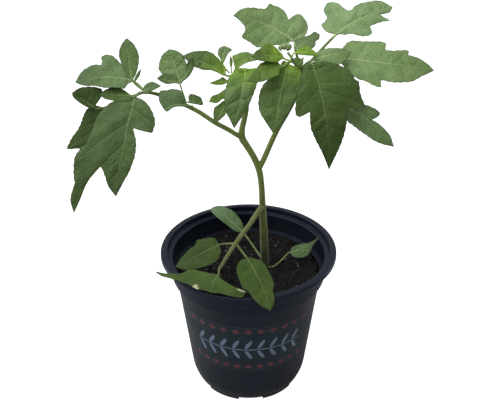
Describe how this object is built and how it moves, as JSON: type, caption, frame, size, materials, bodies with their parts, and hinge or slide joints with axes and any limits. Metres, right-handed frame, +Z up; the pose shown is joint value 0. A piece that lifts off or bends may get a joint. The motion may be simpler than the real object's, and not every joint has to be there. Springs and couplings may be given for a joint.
{
  "type": "potted cherry tomato plant",
  "caption": "Young cherry tomato plant with lobed leaves on a forked stem, growing in compost in a round tapered nursery pot with feet.",
  "frame": {"origin": "middle of the pot's base, on the plane the feet stand on", "axes": "+Z up along the pot's axis; -Y towards the label side of the pot; +X to the right when the label faces the viewer"},
  "size_m": [0.2164, 0.1273, 0.2649],
  "materials": {
    "pot_plastic": "smooth, dark blue-black, semi-matt",
    "compost": "rough, crumbly, dark brown",
    "stem_green": "matt olive green, downy",
    "leaf_green": "matt grey-green, veined",
    "young_green": "matt yellow-green, tender"
  },
  "bodies": {
    "root": {"centre_leaflet": "leaf_green", "centre_stalk": "stem_green", "crown_arched_leaflet": "leaf_green", "crown_front_leaflet": "leaf_green", "crown_left_leaflet": "leaf_green", "crown_lobed_leaflet": "leaf_green", "crown_lower_leaflet": "young_green", "crown_sliver_leaflet": "young_green", "crown_toothed_leaflet": "young_green", "crown_upper_leaflet": "leaf_green", "front_dark_leaflet": "leaf_green", "left_cupped_leaflet": "leaf_green", "left_curved_leaflet": "leaf_green", "left_folded_leaflet": "leaf_green", "left_hidden_leaflet": "leaf_green", "left_leaf_stalk": "stem_green", "left_lower_stalk": "stem_green", "left_oval_leaflet": "leaf_green", "left_oval_side_leaflet": "leaf_green", "left_oval_upper_leaflet": "leaf_green", "left_seed_leaf": "leaf_green", "left_side_leaflet": "leaf_green", "left_sliver_leaflet": "leaf_green", "left_terminal_leaflet": "leaf_green", "left_tuft_leaflet": "leaf_green", "left_upper_leaflet": "leaf_green", "left_upright_leaflet": "leaf_green", "low_front_leaflet": "leaf_green", "low_leaf_stalk": "stem_green", "low_left_leaflet": "leaf_green", "low_terminal_leaflet": "leaf_green", "main_stem": "stem_green", "pot": "pot_plastic", "right_inner_leaflet": "leaf_green", "right_leaf_stalk": "stem_green", "right_long_leaflet": "leaf_green", "right_lower_leaflet": "leaf_green", "right_seed_leaf": "leaf_green", "soil": "compost", "top_broad_leaflet": "leaf_green", "top_dark_leaflet": "leaf_green", "top_knot_leaflet": "leaf_green", "top_little_leaflet": "leaf_green", "top_lower_leaflet": "leaf_green", "top_right_leaflet": "leaf_green", "top_right_stalk": "stem_green", "top_stalk": "stem_green", "top_yellow_leaflet": "young_green", "young_bud": "young_green"}
  },
  "joints": []
}
